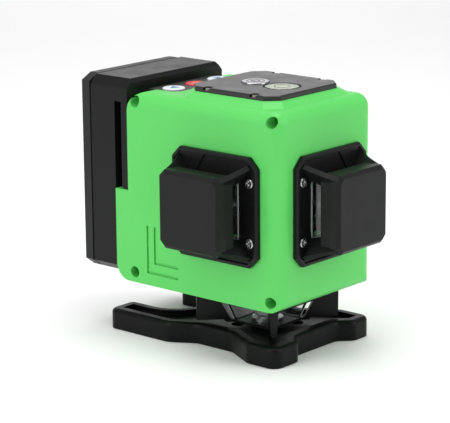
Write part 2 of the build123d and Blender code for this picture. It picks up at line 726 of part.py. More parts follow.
# ---- Output -------------------------------------------------------------------------
def build_nodes():
    left_shell, right_shell = housing_shells()
    battery_front, battery_rear = battery_halves()
    hood = lens_hood()
    panes = glass_panes(glass_base_half, glass_tip_half, 0.05, plate_back_w + 0.5, glass_t)
    foot_panes = glass_panes(foot_glass_base_half, foot_glass_tip_half, 0.05,
                             body_bottom_z - cap_top_z - fit_gap, glass_t)
    prisms = prism_sets()
    names = ("vertical_line_key", "mode_key", "horizontal_line_key")
    keys = {name: key(x, y) for name, (x, y) in zip(names, key_positions())}
    return {
        "left_housing_shell": left_shell,
        "right_housing_shell": right_shell,
        "housing_screws": housing_screws(),
        "top_cover_plate": cover_plate(),
        "top_cover_screws": cover_screws(),
        "power_button": power_button(),
        "bubble_vial": vial(),
        "vial_fluid": vial_fluid(),
        "keypad_panel": keypad_panel(),
        "key_mat": key_mat(),
        "key_board": key_board(),
        **keys,
        "front_hood": FRONT * hood,
        "front_glass_panes": FRONT * panes,
        "front_hood_screws": [FRONT * s for s in hood_screws()],
        "side_hood": SIDE * hood,
        "side_glass_panes": SIDE * panes,
        "side_hood_screws": [SIDE * s for s in hood_screws()],
        "bottom_hood": FOOT * bottom_hood(),
        "bottom_glass_panes": FOOT * foot_panes,
        "bottom_hood_screws": [FOOT * s for s in hood_screws()],
        "thread_insert": thread_insert(),
        "gimbal_bracket": gimbal_bracket(),
        "roll_bearings": bearing_pair(rod_y, 17.2, 20.3),
        "gimbal_ring": gimbal_ring(),
        "pitch_bearings": bearing_pair(rod_x, ring_inner + 0.2, ring_outer - 0.1),
        "pendulum_block": pendulum_block(),
        "front_laser_barrel": front_barrel(),
        "side_laser_barrel": side_barrel(),
        "bottom_laser_barrel": foot_barrel(),
        "front_lens_tube": prisms["front"][0],
        "front_cone_prism": prisms["front"][1],
        "side_lens_tube": prisms["side"][0],
        "side_cone_prism": prisms["side"][1],
        "bottom_lens_tube": prisms["bottom"][0],
        "bottom_cone_prism": prisms["bottom"][1],
        "balance_weights": balance_weights(),
        "damper_magnet": damper_magnet(),
        "damper_plate": damper_plate(),
        "main_board": main_board(),
        "board_posts": board_posts(),
        "transport_lock_slider": transport_lock(),
        "battery_front_shell": battery_front,
        "battery_rear_cover": battery_rear,
        "battery_cover_screws": battery_screws(),
        "battery_cells": battery_cells(),
        "battery_contacts": battery_contacts(),
        "stand_moulding": stand_moulding(),
        "rubber_feet": rubber_feet(),
        "clamp_screw": clamp_screw(),
        "retaining_ring": retaining_ring(),
    }


def main():
    os.makedirs("parts", exist_ok=True)
    for name, shape in build_nodes().items():
        if isinstance(shape, list):
            shape = Compound(children=[Solid(s.solid().wrapped) for s in shape])
        export_step(shape, f"parts/{name}.step")


if __name__ == "__main__":
    main()
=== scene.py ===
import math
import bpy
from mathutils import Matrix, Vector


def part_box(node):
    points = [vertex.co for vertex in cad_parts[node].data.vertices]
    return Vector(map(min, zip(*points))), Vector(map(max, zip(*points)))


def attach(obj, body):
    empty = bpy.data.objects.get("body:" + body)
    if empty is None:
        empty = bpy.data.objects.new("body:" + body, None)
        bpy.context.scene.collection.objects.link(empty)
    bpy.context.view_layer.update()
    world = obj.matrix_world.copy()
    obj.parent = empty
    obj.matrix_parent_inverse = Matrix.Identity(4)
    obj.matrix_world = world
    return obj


bl_info = {
    "name": "Laser level finishes",
    "version": (1, 0, 0),
    "blender": (4, 5, 0),
    "location": "View3D > Sidebar > Laser level",
    "description": "Finishes, markings, glass edges and studio for a box-shaped line laser level",
    "category": "Object",
}

import bmesh
import bpy
from bpy.props import FloatProperty, FloatVectorProperty, PointerProperty
from bpy.types import Operator, Panel, PropertyGroup
from mathutils import Matrix, Vector

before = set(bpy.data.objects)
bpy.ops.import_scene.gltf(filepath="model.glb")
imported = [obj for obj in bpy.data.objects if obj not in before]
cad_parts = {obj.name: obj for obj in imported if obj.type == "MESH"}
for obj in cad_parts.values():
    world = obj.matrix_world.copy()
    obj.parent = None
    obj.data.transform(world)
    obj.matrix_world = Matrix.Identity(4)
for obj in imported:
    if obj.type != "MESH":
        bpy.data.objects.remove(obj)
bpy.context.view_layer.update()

# Frames of the three window modules: columns are u, v and the outward direction w.
SIDE_FACE_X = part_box("side_hood")[1].x
FRONT_FACE_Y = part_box("front_hood")[1].y
FOOT_FACE_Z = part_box("bottom_hood")[1].z
MODULE_MID = (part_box("front_hood")[0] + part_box("front_hood")[1]) / 2
SIDE_MID = (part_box("side_hood")[0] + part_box("side_hood")[1]) / 2


def frame_matrix(origin, u, v, w):
    """A 4x4 that takes module coordinates (u, v, w) to the level's own frame."""
    turn = Matrix((u, v, w)).transposed()
    return Matrix.Translation(origin) @ turn.to_4x4()


FRONT = frame_matrix((MODULE_MID.x, FRONT_FACE_Y, MODULE_MID.z), (1, 0, 0), (0, 0, 1), (0, -1, 0))
SIDE = frame_matrix((SIDE_FACE_X, SIDE_MID.y, SIDE_MID.z), (0, -1, 0), (0, 0, 1), (-1, 0, 0))
FOOT = frame_matrix((0, 0, FOOT_FACE_Z), (1, 0, 0), (0, -1, 0), (0, 0, -1))
MM = 0.001

# The panes' pyramids in millimetres: half width at the wall, half width at the tip, height.
WINDOW_PANES = (14.3, 11.0, 10.2)
FOOT_PANES = (16.35, 11.35, 15.7)
# How far out from the wall the painted highlights along the panes' edges begin, in millimetres.
PANE_BORDER_W = 1.15

# The band of a noise output that carries its contrast.
NOISE_LOW = 0.3
NOISE_HIGH = 0.7

# Noise scales, in cycles per metre of the object.
FLOW_SCALE = 22.0
WIPE_SCALE = 90.0
SMEAR_SCALE = 260.0
CLOUD_SCALE = 160.0
DUST_SCALE = 700.0
INK_SCALE = 2400.0
TRACK_SCALE = 260.0
MASK_GRAIN_SCALE = 1500.0
ROLLER_SCALE = 12.0
LIQUID_SCALE = 120.0

# Heights of the surface relief in metres, and the metals' own strength and edge.
PLASTIC_RELIEF = 0.00004
METAL_RELIEF = 0.00002
RUBBER_RELIEF = 0.00006
MASK_RELIEF = 0.00003
METAL_STRENGTH = 0.15
METAL_SOFTNESS = 0.00012
BEVEL_SAMPLES = 6
NO_LAY = (1.0, 1.0, 1.0)

# Marks in millimetres.
BUTTON_RING = (3.9, 4.35)
POWER_ARC = (1.7, 2.25)
POWER_ARC_START = math.radians(125)
POWER_ARC_TURN = math.radians(290)
POWER_BAR = (0.4, 2.6)
POWER_BAR_HALF = 0.26
MODE_RING = (1.5, 1.95)
MODE_DOT = (0.02, 0.55)
FAN_BAR_X = 1.5
FAN_BAR_HALF = (0.34, 2.4)
FAN_WEDGE = ((-2.2, -0.25), (0.8, -1.9), (0.8, 1.9), (-2.2, 0.25))

# The vial, in millimetres.
VIAL_BAND = 0.28
BUBBLE_DEPTH = 0.9
BUBBLE_FLATNESS = 0.6
BUBBLE_DRIFT = (0.2, 0.1)
BUBBLE_TOP_GAP = 0.01
BUBBLE_DOME_GAP = 0.05
BUBBLE_STEPS = 12
GASKET_DROP = 0.85
GASKET_BAND = (0.05, 0.75)
GASKET_HEIGHT = 0.12

# The studio, in metres.
FLOOR_HALF = 6.0
FLOOR_CELLS = 8
LIGHT_AIM = (0, 0.01, 0.07)
SENSOR_WIDTH = 36.0
CLIP = (0.01, 50.0)


# ---- Settings -------------------------------------------------------------------------
class LevelPlasticSettings(PropertyGroup):
    """Colours and grain of the moulded parts."""

    housing: FloatVectorProperty(
        name="Housing", description="Colour of the housing", subtype="COLOR",
        size=3, min=0, max=1, default=(0.102, 0.60, 0.115))
    hood: FloatVectorProperty(
        name="Hoods", description="Colour of the window hoods", subtype="COLOR",
        size=3, min=0, max=1, default=(0.0065, 0.0065, 0.007))
    battery: FloatVectorProperty(
        name="Battery", description="Colour of the battery case", subtype="COLOR",
        size=3, min=0, max=1, default=(0.0065, 0.0065, 0.007))
    cover: FloatVectorProperty(
        name="Cover plate", description="Colour of the top cover plate", subtype="COLOR",
        size=3, min=0, max=1, default=(0.008, 0.008, 0.0085))
    stand: FloatVectorProperty(
        name="Stand", description="Colour of the stand", subtype="COLOR",
        size=3, min=0, max=1, default=(0.003, 0.003, 0.0033))
    grain: FloatProperty(
        name="Grain", description="Size of the moulded surface grain", unit="LENGTH",
        min=0.00005, max=0.002, default=0.00035, precision=5)
    softness: FloatProperty(
        name="Edge softness", description="How far a moulded edge is rounded", unit="LENGTH",
        min=0.0, max=0.001, default=0.00028, precision=5)


class LevelMarkSettings(PropertyGroup):
    """Sizes of the printed marks, the painted highlights along the glass edges and the vial's
    parts.
    """

    thickness: FloatProperty(
        name="Mark thickness", description="How far a printed mark stands proud", unit="LENGTH",
        min=0.00001, max=0.0005, default=0.00006, precision=5)
    blue: FloatVectorProperty(
        name="Icon blue", description="Colour of the icons on the white keys", subtype="COLOR",
        size=3, min=0, max=1, default=(0.02, 0.16, 0.42))
    # Width of the whitish bars of painted highlight along the panes' edges.
    edge: FloatProperty(
        name="Glass edge", description="Width of a ground glass edge", unit="LENGTH",
        min=0.0001, max=0.002, default=0.0006, precision=5)
    ring: FloatProperty(
        name="Vial circle", description="Radius of the circle printed on the vial", unit="LENGTH",
        min=0.001, max=0.006, default=0.0036, precision=5)
    bubble: FloatProperty(
        name="Bubble", description="Radius of the bubble in the vial", unit="LENGTH",
        min=0.001, max=0.005, default=0.0027, precision=5)


class LevelStageSettings(PropertyGroup):
    """Floor, light and camera."""

    floor: FloatVectorProperty(
        name="Floor", description="Colour of the floor", subtype="COLOR",
        size=3, min=0, max=1, default=(0.97, 0.97, 0.97))
    room: FloatProperty(
        name="Room light", description="Strength of the light from all round",
        min=0, max=5, default=0.50)
    side_light: FloatProperty(
        name="Side lights", description="Power of each soft side light", unit="POWER",
        min=0, max=500, default=4.6)
    top_light: FloatProperty(
        name="Top light", description="Power of the overhead light", unit="POWER",
        min=0, max=500, default=8.0)
    back_light: FloatProperty(
        name="Back light", description="Power of the light behind the level", unit="POWER",
        min=0, max=500, default=1.1)
    azimuth: FloatProperty(
        name="Azimuth", description="Camera's bearing round the level", subtype="ANGLE",
        default=math.radians(-49.09))
    elevation: FloatProperty(
        name="Elevation", description="Camera's height above the horizon", subtype="ANGLE",
        default=math.radians(13.81))
    roll: FloatProperty(
        name="Roll", description="Camera's turn about its own axis", subtype="ANGLE",
        default=math.radians(-0.46))
    place: FloatVectorProperty(
        name="Camera place", description="Where the camera stands", subtype="TRANSLATION",
        unit="LENGTH", size=3, default=(-0.7367, -0.6122, 0.2983))
    lens: FloatProperty(
        name="Lens", description="Focal length in millimetres", unit="CAMERA",
        min=10, max=400, default=167.6)


# ---- Material building ----------------------------------------------------------------
def blank_material(name):
    """A new node material with only its output and shader."""
    material = bpy.data.materials.new(name)
    material.use_nodes = True
    tree = material.node_tree
    tree.nodes.clear()
    output = tree.nodes.new("ShaderNodeOutputMaterial")
    shader = tree.nodes.new("ShaderNodeBsdfPrincipled")
    output.location = (500, 0)
    shader.location = (200, 0)
    tree.links.new(shader.outputs["BSDF"], output.inputs["Surface"])
    return material, tree, shader


def object_noise(tree, scale, detail=2.0, roughness=0.5, stretch=None):
    """Noise in the object's own coordinates, where 1 is a metre."""
    coords = tree.nodes.new("ShaderNodeTexCoord")
    noise = tree.nodes.new("ShaderNodeTexNoise")
    noise.inputs["Scale"].default_value = scale
    noise.inputs["Detail"].default_value = detail
    noise.inputs["Roughness"].default_value = roughness
    source = coords.outputs["Object"]
    if stretch:
        mapping = tree.nodes.new("ShaderNodeMapping")
        mapping.inputs["Scale"].default_value = stretch
        tree.links.new(source, mapping.inputs["Vector"])
        source = mapping.outputs["Vector"]
    tree.links.new(source, noise.inputs["Vector"])
    return noise.outputs["Fac"]


def spread(tree, source, low, high):
    """Maps the useful band of a noise output to low..high."""
    node = tree.nodes.new("ShaderNodeMapRange")
    node.inputs["From Min"].default_value = NOISE_LOW
    node.inputs["From Max"].default_value = NOISE_HIGH
    node.inputs["To Min"].default_value = low
    node.inputs["To Max"].default_value = high
    tree.links.new(source, node.inputs["Value"])
    return node.outputs["Result"]


def two_tones(tree, source, dark, light):
    """A colour that drifts between two tones."""
    ramp = tree.nodes.new("ShaderNodeValToRGB")
    stops = ramp.color_ramp.elements
    for stop, position, colour in zip(stops, (NOISE_LOW, NOISE_HIGH), (dark, light)):
        stop.position = position
        stop.color = (*colour, 1)
    tree.links.new(source, ramp.inputs["Fac"])
    return ramp.outputs["Color"]


def surface_relief(tree, height, distance, strength, softness=0.0):
    """Bump from a height, over edges rounded by softness."""
    bump = tree.nodes.new("ShaderNodeBump")
    bump.inputs["Distance"].default_value = distance
    bump.inputs["Strength"].default_value = strength
    tree.links.new(height, bump.inputs["Height"])
    if softness > 0:
        bevel = tree.nodes.new("ShaderNodeBevel")
        bevel.samples = BEVEL_SAMPLES
        bevel.inputs["Radius"].default_value = softness
        tree.links.new(bevel.outputs["Normal"], bump.inputs["Normal"])
    return bump.outputs["Normal"]


def shade(colour, factor):
    """The colour made lighter or darker, kept within 1."""
    return tuple(min(1.0, c * factor) for c in colour)


def moulded_plastic(name, colour, roughness, grain, softness,
                    specular=0.5, drift=0.06, relief=0.25):
    """Spark-eroded moulded plastic: fine grain, slight flow marks and soft edges."""
    material, tree, shader = blank_material(name)
    flow = object_noise(tree, FLOW_SCALE, 3.0, 0.55)
    tone = two_tones(tree, flow, shade(colour, 1 - drift), shade(colour, 1 + drift))
    tree.links.new(tone, shader.inputs["Base Color"])
    wipe = object_noise(tree, WIPE_SCALE, 4.0, 0.6)
    rough = spread(tree, wipe, roughness - 0.05, roughness + 0.05)
    tree.links.new(rough, shader.inputs["Roughness"])
    fine = object_noise(tree, 1.0 / grain, 2.0, 0.6)
    normal = surface_relief(tree, fine, PLASTIC_RELIEF, relief, softness)
    tree.links.new(normal, shader.inputs["Normal"])
    shader.inputs["Specular IOR Level"].default_value = specular
    return material


def worked_metal(name, colour, roughness, lay, scratch=900.0):
    """Machined or plated metal, with fine tool marks stretched along lay."""
    material, tree, shader = blank_material(name)
    shader.inputs["Metallic"].default_value = 1.0
    marks = object_noise(tree, scratch, 3.0, 0.6, stretch=lay)
    tone = two_tones(tree, marks, shade(colour, 0.86), shade(colour, 1.08))
    tree.links.new(tone, shader.inputs["Base Color"])
    smear = object_noise(tree, SMEAR_SCALE, 3.0, 0.5)
    rough = spread(tree, smear, roughness - 0.06, roughness + 0.08)
    tree.links.new(rough, shader.inputs["Roughness"])
    normal = surface_relief(tree, marks, METAL_RELIEF, METAL_STRENGTH, METAL_SOFTNESS)
    tree.links.new(normal, shader.inputs["Normal"])
    return material


def clear_glass(name, tint, roughness, ior=1.5, transmission=1.0, smears=0.03):
    """Polished glass with faint smears."""
    material, tree, shader = blank_material(name)
    shader.inputs["Transmission Weight"].default_value = transmission
    shader.inputs["IOR"].default_value = ior
    cloud = object_noise(tree, CLOUD_SCALE, 3.0, 0.6)
    tone = two_tones(tree, cloud, shade(tint, 0.97), tint)
    tree.links.new(tone, shader.inputs["Base Color"])
    rough = spread(tree, cloud, roughness, roughness + smears)
    tree.links.new(rough, shader.inputs["Roughness"])
    return material


def soft_rubber(name, colour, roughness):
    """Matt rubber with a dusty, uneven skin."""
    material, tree, shader = blank_material(name)
    dust = object_noise(tree, DUST_SCALE, 5.0, 0.7)
    tone = two_tones(tree, dust, shade(colour, 0.8), shade(colour, 1.5))
    tree.links.new(tone, shader.inputs["Base Color"])
    rough = spread(tree, dust, roughness - 0.08, roughness + 0.06)
    tree.links.new(rough, shader.inputs["Roughness"])
    normal = surface_relief(tree, dust, RUBBER_RELIEF, 0.4, 0.0002)
    tree.links.new(normal, shader.inputs["Normal"])
    shader.inputs["Sheen Weight"].default_value = 0.05
    return material


def solder_mask(name):
    """A circuit board: green mask over a faint mesh of tracks."""
    material, tree, shader = blank_material(name)
    coords = tree.nodes.new("ShaderNodeTexCoord")
    bricks = tree.nodes.new("ShaderNodeTexBrick")
    bricks.inputs["Scale"].default_value = TRACK_SCALE
    bricks.inputs["Color1"].default_value = (0.01, 0.10, 0.035, 1)
    bricks.inputs["Color2"].default_value = (0.014, 0.135, 0.05, 1)
    bricks.inputs["Mortar"].default_value = (0.03, 0.22, 0.08, 1)
    tree.links.new(coords.outputs["Object"], bricks.inputs["Vector"])
    tree.links.new(bricks.outputs["Color"], shader.inputs["Base Color"])
    fine = object_noise(tree, MASK_GRAIN_SCALE, 2.0)
    tree.links.new(spread(tree, fine, 0.25, 0.4), shader.inputs["Roughness"])
    normal = surface_relief(tree, bricks.outputs["Fac"], MASK_RELIEF, 0.3)
    tree.links.new(normal, shader.inputs["Normal"])
    return material


def printed_ink(name, colour, roughness=0.45):
    """Pad-printed ink with slightly uneven cover."""
    material, tree, shader = blank_material(name)
    cover = object_noise(tree, INK_SCALE, 3.0, 0.6)
    tone = two_tones(tree, cover, shade(colour, 0.85), shade(colour, 1.1))
    tree.links.new(tone, shader.inputs["Base Color"])
    rough = spread(tree, cover, roughness - 0.05, roughness + 0.08)
    tree.links.new(rough, shader.inputs["Roughness"])
    return material


def coat(material, *nodes):
    """Puts a finish on every slot of the named CAD nodes."""
    for name in nodes:
        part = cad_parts[name]
        if not part.material_slots:
            raise RuntimeError(f"{name} has no material slot to finish")
        for place in part.material_slots:
            place.material = material


# ---- Mesh building --------------------------------------------------------------------
def piece_from(name, mesh_maker, material, body):
    """Makes one piece, and says which body it rides on and whose finish it takes."""
    mesh = bpy.data.meshes.new(name)
    grown = bmesh.new()
    mesh_maker(grown)
    bmesh.ops.recalc_face_normals(grown, faces=grown.faces)
    grown.to_mesh(mesh)
    grown.free()
    mesh.materials.append(material)
    piece = bpy.data.objects.new(name, mesh)
    bpy.context.scene.collection.objects.link(piece)
    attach(piece, body)
    return piece


def add_bar(grown, start, end, half_wide, half_thick, side):
    """A square bar from start to end; side is the direction of its width."""
    start, end = Vector(start), Vector(end)
    along = (end - start).normalized()
    side = (Vector(side) - along * along.dot(Vector(side))).normalized()
    thick = along.cross(side)
    rings = []
    for point in (start, end):
        ring = []
        for a, b in ((-1, -1), (1, -1), (1, 1), (-1, 1)):
            ring.append(grown.verts.new(point + side * a * half_wide + thick * b * half_thick))
        rings.append(ring)
    for i in range(4):
        j = (i + 1) % 4
        grown.faces.new((rings[0][i], rings[0][j], rings[1][j], rings[1][i]))
    grown.faces.new(rings[0][::-1])
    grown.faces.new(rings[1])


def add_lathe(grown, centre, profile, steps=64, start=0.0, turn=2 * math.pi):
    """A closed profile of (radius, height) pairs turned about +Z at centre."""
    whole = abs(turn - 2 * math.pi) < 1e-6
    count = steps if whole else steps + 1
    rows = []
    for i in range(count):
        angle = start + turn * i / steps
        rows.append([grown.verts.new((centre[0] + r * math.cos(angle),
                                      centre[1] + r * math.sin(angle), centre[2] + h))
                     for r, h in profile])
    pairs = range(count) if whole else range(count - 1)
    for i in pairs:
        a, b = rows[i], rows[(i + 1) % count]
        for j in range(len(profile)):
            k = (j + 1) % len(profile)
            grown.faces.new((a[j], a[k], b[k], b[j]))
    if not whole:
        grown.faces.new(rows[0])
        grown.faces.new(rows[-1][::-1])


def ring_profile(inner, outer, height):
    """A low band with its upper corners eased."""
    ease = min(height * 0.5, (outer - inner) * 0.25)
    return [(inner, 0), (outer, 0), (outer, height - ease), (outer - ease, height),
            (inner + ease, height), (inner, height - ease)]


def mark_ring(radii, height):
    """The profile of a printed ring, from its radii in millimetres."""
    inner, outer = (radius * MM for radius in radii)
    return ring_profile(inner, outer, height)


def shade_smooth(piece):
    """Smooth shading with the sharp edges kept."""
    mesh = piece.data
    mesh.polygons.foreach_set("use_smooth", [True] * len(mesh.polygons))
    mesh.set_sharp_from_angle(angle=math.radians(40))
    mesh.update()


# ---- Operators ------------------------------------------------------------------------
class LEVEL_OT_housing(Operator):
    """Finishes the two green housing shells and the parts inside them"""

    bl_idname = "level.housing"
    bl_label = "Housing"

    def execute(self, context):
        look = context.scene.level_plastic
        green = moulded_plastic("moulded green", look.housing, 0.42, look.grain,
                                look.softness * 0.6, specular=0.35, drift=0.02)
        coat(green, "left_housing_shell", "right_housing_shell")
        board = solder_mask("solder mask")
        coat(board, "main_board", "key_board")
        black = moulded_plastic("moulded black inside", look.hood, 0.5, look.grain,
                                look.softness)
        coat(black, "board_posts")
        copper = worked_metal("rolled copper", (0.72, 0.32, 0.18), 0.3, (1.0, 1.0, 0.05))
        coat(copper, "damper_plate")
        return {"FINISHED"}


class LEVEL_OT_hoods(Operator):
    """Finishes the three black window hoods"""

    bl_idname = "level.hoods"
    bl_label = "Window hoods"

    def execute(self, context):
        look = context.scene.level_plastic
        black = moulded_plastic("hood black", look.hood, 0.42, look.grain, look.softness,
                                specular=0.2, relief=0.35)
        coat(black, "front_hood", "side_hood", "bottom_hood", "transport_lock_slider")
        return {"FINISHED"}


class LEVEL_OT_glass(Operator):
    """Finishes the window panes, lens tubes and cone prisms, and adds painted highlights along the
    panes' edges
    """

    bl_idname = "level.glass"
    bl_label = "Glass"

    def execute(self, context):
        marks = context.scene.level_marks
        pane = clear_glass("window pane", (0.95, 0.97, 0.965), 0.01, 1.5, 1.0)
        coat(pane, "front_glass_panes", "side_glass_panes", "bottom_glass_panes")
        tube = clear_glass("lens tube", (0.93, 0.95, 0.95), 0.12, 1.48, 0.55, smears=0.08)
        coat(tube, "front_lens_tube", "side_lens_tube", "bottom_lens_tube")
        cone = clear_glass("cone prism", (0.90, 0.95, 0.97), 0.02, 1.52, 0.95)
        coat(cone, "front_cone_prism", "side_cone_prism", "bottom_cone_prism")
        # Whitish, rough, barely clear glass for bars along the panes' edges: painted highlights in
        # place of the glints off the glass edges.
        painted_glint = clear_glass("ground glass edge", (0.86, 0.88, 0.88), 0.35, 1.5, 0.08, smears=0.15)
        half = marks.edge / 2
        for name, place, panes in (
                ("front_pane_glints", FRONT, WINDOW_PANES),
                ("side_pane_glints", SIDE, WINDOW_PANES),
                ("bottom_pane_glints", FOOT, FOOT_PANES)):
            base, tip, depth = (length * MM for length in panes)
            self.edge_glint_set(name, place, base, tip, depth, half, painted_glint)
        return {"FINISHED"}

    def edge_glint_set(self, name, place, base, tip, depth, half, material):
        """Painted highlights: four mitred whitish bars along the panes' edges, and a border of them
        where the panes stand in the hood's window.
        """
        start_w = PANE_BORDER_W * MM
        start = base - (base - tip) * start_w / depth

        def build(grown):
            for su, sv in ((1, 1), (-1, 1), (-1, -1), (1, -1)):
                low = place @ Vector((su * (start - half), sv * (start - half), start_w))
                high = place @ Vector((su * (tip - half), sv * (tip - half), depth))
                across = place.to_3x3() @ Vector((su, -sv, 0))
                add_bar(grown, low, high, half, half, across)
            for angle in range(4):
                turn = Matrix.Rotation(math.radians(90 * angle), 4, "Z")
                a = place @ turn @ Vector((start - half, -start, start_w))
                b = place @ turn @ Vector((start - half, start, start_w))
                add_bar(grown, a, b, half, half, place.to_3x3() @ Vector((0, 0, 1)))

        piece_from(name, build, material, "level")


class LEVEL_OT_cover(Operator):
    """Finishes the top cover plate, the power button and the bubble vial"""

    bl_idname = "level.cover"
    bl_label = "Cover, button and vial"

    def execute(self, context):
        look = context.scene.level_plastic
        marks = context.scene.level_marks
        satin = moulded_plastic("cover satin", look.cover, 0.33, look.grain, look.softness * 0.8,
                                specular=0.5, relief=0.2)
        coat(satin, "top_cover_plate")
        silver = worked_metal("plated silver", (0.50, 0.50, 0.52), 0.22, NO_LAY, scratch=300.0)
        coat(silver, "power_button")
        self.power_mark(marks)
        acrylic = clear_glass("vial acrylic", (0.93, 0.97, 0.80), 0.02, 1.45, 1.0)
        coat(acrylic, "bubble_vial")
        self.fluid()
        self.vial_parts(marks)
        return {"FINISHED"}

    def power_mark(self, marks):
        """A dark ring and a plain on-off symbol on the button's top."""
        low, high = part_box("power_button")
        centre = ((low.x + high.x) / 2, (low.y + high.y) / 2, high.z)
        ink = printed_ink("button ink", (0.03, 0.03, 0.035), 0.4)
        thick = marks.thickness

        def build(grown):
            add_lathe(grown, centre, mark_ring(BUTTON_RING, thick))
            add_lathe(grown, centre, mark_ring(POWER_ARC, thick), 40,
                      POWER_ARC_START, POWER_ARC_TURN)
            top = Vector(centre) + Vector((0, 0, thick / 2))
            start, end = (top + Vector((0, y * MM, 0)) for y in POWER_BAR)
            add_bar(grown, start, end, POWER_BAR_HALF * MM, thick / 2, (1, 0, 0))

        piece_from("power_button_mark", build, ink, "power_button")

    def fluid(self):
        """Yellow-green liquid, a little cloudy so that it holds its colour."""
        material, tree, shader = blank_material("vial liquid")
        drift = object_noise(tree, LIQUID_SCALE, 2.0)
        tone = two_tones(tree, drift, (0.38, 0.46, 0.12), (0.44, 0.52, 0.16))
        tree.links.new(tone, shader.inputs["Base Color"])
        tree.links.new(spread(tree, drift, 0.08, 0.14), shader.inputs["Roughness"])
        shader.inputs["Transmission Weight"].default_value = 0.35
        shader.inputs["IOR"].default_value = 1.33
        coat(material, "vial_fluid")

    def vial_parts(self, marks):
        """The printed circle, the bubble under the lid and the dark ring round the vial."""
        low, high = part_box("bubble_vial")
        fluid_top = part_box("vial_fluid")[1].z
        x, y = (low.x + high.x) / 2, (low.y + high.y) / 2
        ink = printed_ink("vial ink", (0.006, 0.006, 0.006), 0.5)
        band = VIAL_BAND * MM

        def circle(grown):
            profile = ring_profile(marks.ring, marks.ring + band, marks.thickness)
            add_lathe(grown, (x, y, high.z), profile)

        ring = piece_from("vial_circle", circle, ink, "level")
        shade_smooth(ring)
        pale = clear_glass("bubble skin", (0.97, 0.99, 0.86), 0.05, 1.1, 0.6)

        def dome(grown):
            lid = fluid_top - BUBBLE_TOP_GAP * MM
            profile = []
            for i in range(BUBBLE_STEPS + 1):
                angle = math.pi / 2 * i / BUBBLE_STEPS
                radius = marks.bubble * math.sin(angle)
                drop = BUBBLE_DEPTH * MM * math.cos(angle) * BUBBLE_FLATNESS
                profile.append((max(radius, 2e-5), fluid_top - BUBBLE_DOME_GAP * MM - drop))
            profile.append((marks.bubble * 0.96, lid))
            profile.append((1e-5, lid))
            centre = (x + BUBBLE_DRIFT[0] * MM, y + BUBBLE_DRIFT[1] * MM, 0)
            add_lathe(grown, centre, profile, 48)

        bubble = piece_from("vial_bubble", dome, pale, "level")
        shade_smooth(bubble)

        def gasket(grown):
            radius = (high.x - low.x) / 2
            inner, outer = (radius + step * MM for step in GASKET_BAND)
            profile = ring_profile(inner, outer, GASKET_HEIGHT * MM)
            add_lathe(grown, (x, y, high.z - GASKET_DROP * MM), profile)

        seat = piece_from("vial_seat_ring", gasket, ink, "level")
        shade_smooth(seat)


class LEVEL_OT_keypad(Operator):
    """Finishes the keypad and its three keys, and adds their icons"""

    bl_idname = "level.keypad"
    bl_label = "Keypad"

    def execute(self, context):
        look = context.scene.level_plastic
        marks = context.scene.level_marks
        black = moulded_plastic("keypad black", look.cover, 0.38, look.grain, look.softness,
                                relief=0.2)
        coat(black, "keypad_panel")
        white = moulded_plastic("key white", (0.72, 0.77, 0.80), 0.32, 0.0005, 0.0003,
                                drift=0.01, relief=0.1)
        red = moulded_plastic("key red", (0.62, 0.035, 0.028), 0.32, 0.0005, 0.0003,
                              drift=0.02, relief=0.1)
        coat(white, "vertical_line_key", "horizontal_line_key")
        coat(red, "mode_key")
        rubber = soft_rubber("key mat silicone", (0.35, 0.35, 0.35), 0.6)
        coat(rubber, "key_mat")
        blue = printed_ink("icon blue", marks.blue)
        pink = printed_ink("icon pink", (0.85, 0.30, 0.26))
        self.icon("vertical_line_icon", "vertical_line_key", blue, "white_key", 0)
        self.icon("horizontal_line_icon", "horizontal_line_key", blue, "white_key", 90)
        self.mode_ring(pink, marks)
        return {"FINISHED"}

    def icon(self, name, key, ink, slot, degrees):
        """A laser fan: a bar with a wedge of light that opens on to it."""
        thick = bpy.context.scene.level_marks.thickness
        low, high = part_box(key)
        place = Matrix.Translation(((low.x + high.x) / 2, (low.y + high.y) / 2, high.z))
        place @= Matrix.Rotation(math.radians(degrees), 4, "Z")

        def build(grown):
            half_wide, half_long = FAN_BAR_HALF
            ends = [Vector((FAN_BAR_X * MM, y * MM, thick / 2)) for y in (-half_long, half_long)]
            add_bar(grown, place @ ends[0], place @ ends[1], half_wide * MM, thick / 2,
                    place.to_3x3() @ Vector((1, 0, 0)))
            lower, upper = (
                [grown.verts.new(place @ Vector((a * MM, b * MM, z))) for a, b in FAN_WEDGE]
                for z in (0, thick))
            grown.faces.new(upper)
            grown.faces.new(lower[::-1])
            for i in range(4):
                j = (i + 1) % 4
                grown.faces.new((lower[i], lower[j], upper[j], upper[i]))

        piece_from(name, build, ink, key)

    def mode_ring(self, ink, marks):
        """A ring and a dot on the red key."""
        low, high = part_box("mode_key")
        centre = ((low.x + high.x) / 2, (low.y + high.y) / 2, high.z)

        def build(grown):
            add_lathe(grown, centre, mark_ring(MODE_RING, marks.thickness), 48)
            add_lathe(grown, centre, mark_ring(MODE_DOT, marks.thickness), 32)

        piece_from("mode_key_mark", build, ink, "mode_key")


class LEVEL_OT_fasteners(Operator):
    """Finishes the screws, the thread insert and the clamp screw"""

    bl_idname = "level.fasteners"
    bl_label = "Fasteners"

    def execute(self, context):
        steel = worked_metal("zinc plated steel", (0.62, 0.62, 0.63), 0.26, NO_LAY, scratch=1500.0)
        coat(steel, "housing_screws", "front_hood_screws", "side_hood_screws", "bottom_hood_screws",
             "battery_cover_screws", "thread_insert", "clamp_screw", "retaining_ring")
        brass = worked_metal("passivated brass", (0.72, 0.58, 0.36), 0.28, (1.0, 1.0, 0.3),
                             scratch=1200.0)
        coat(brass, "battery_contacts")
        oiled = worked_metal("oiled steel", (0.20, 0.18, 0.15), 0.3, NO_LAY, scratch=1500.0)
        coat(oiled, "top_cover_screws")
        return {"FINISHED"}


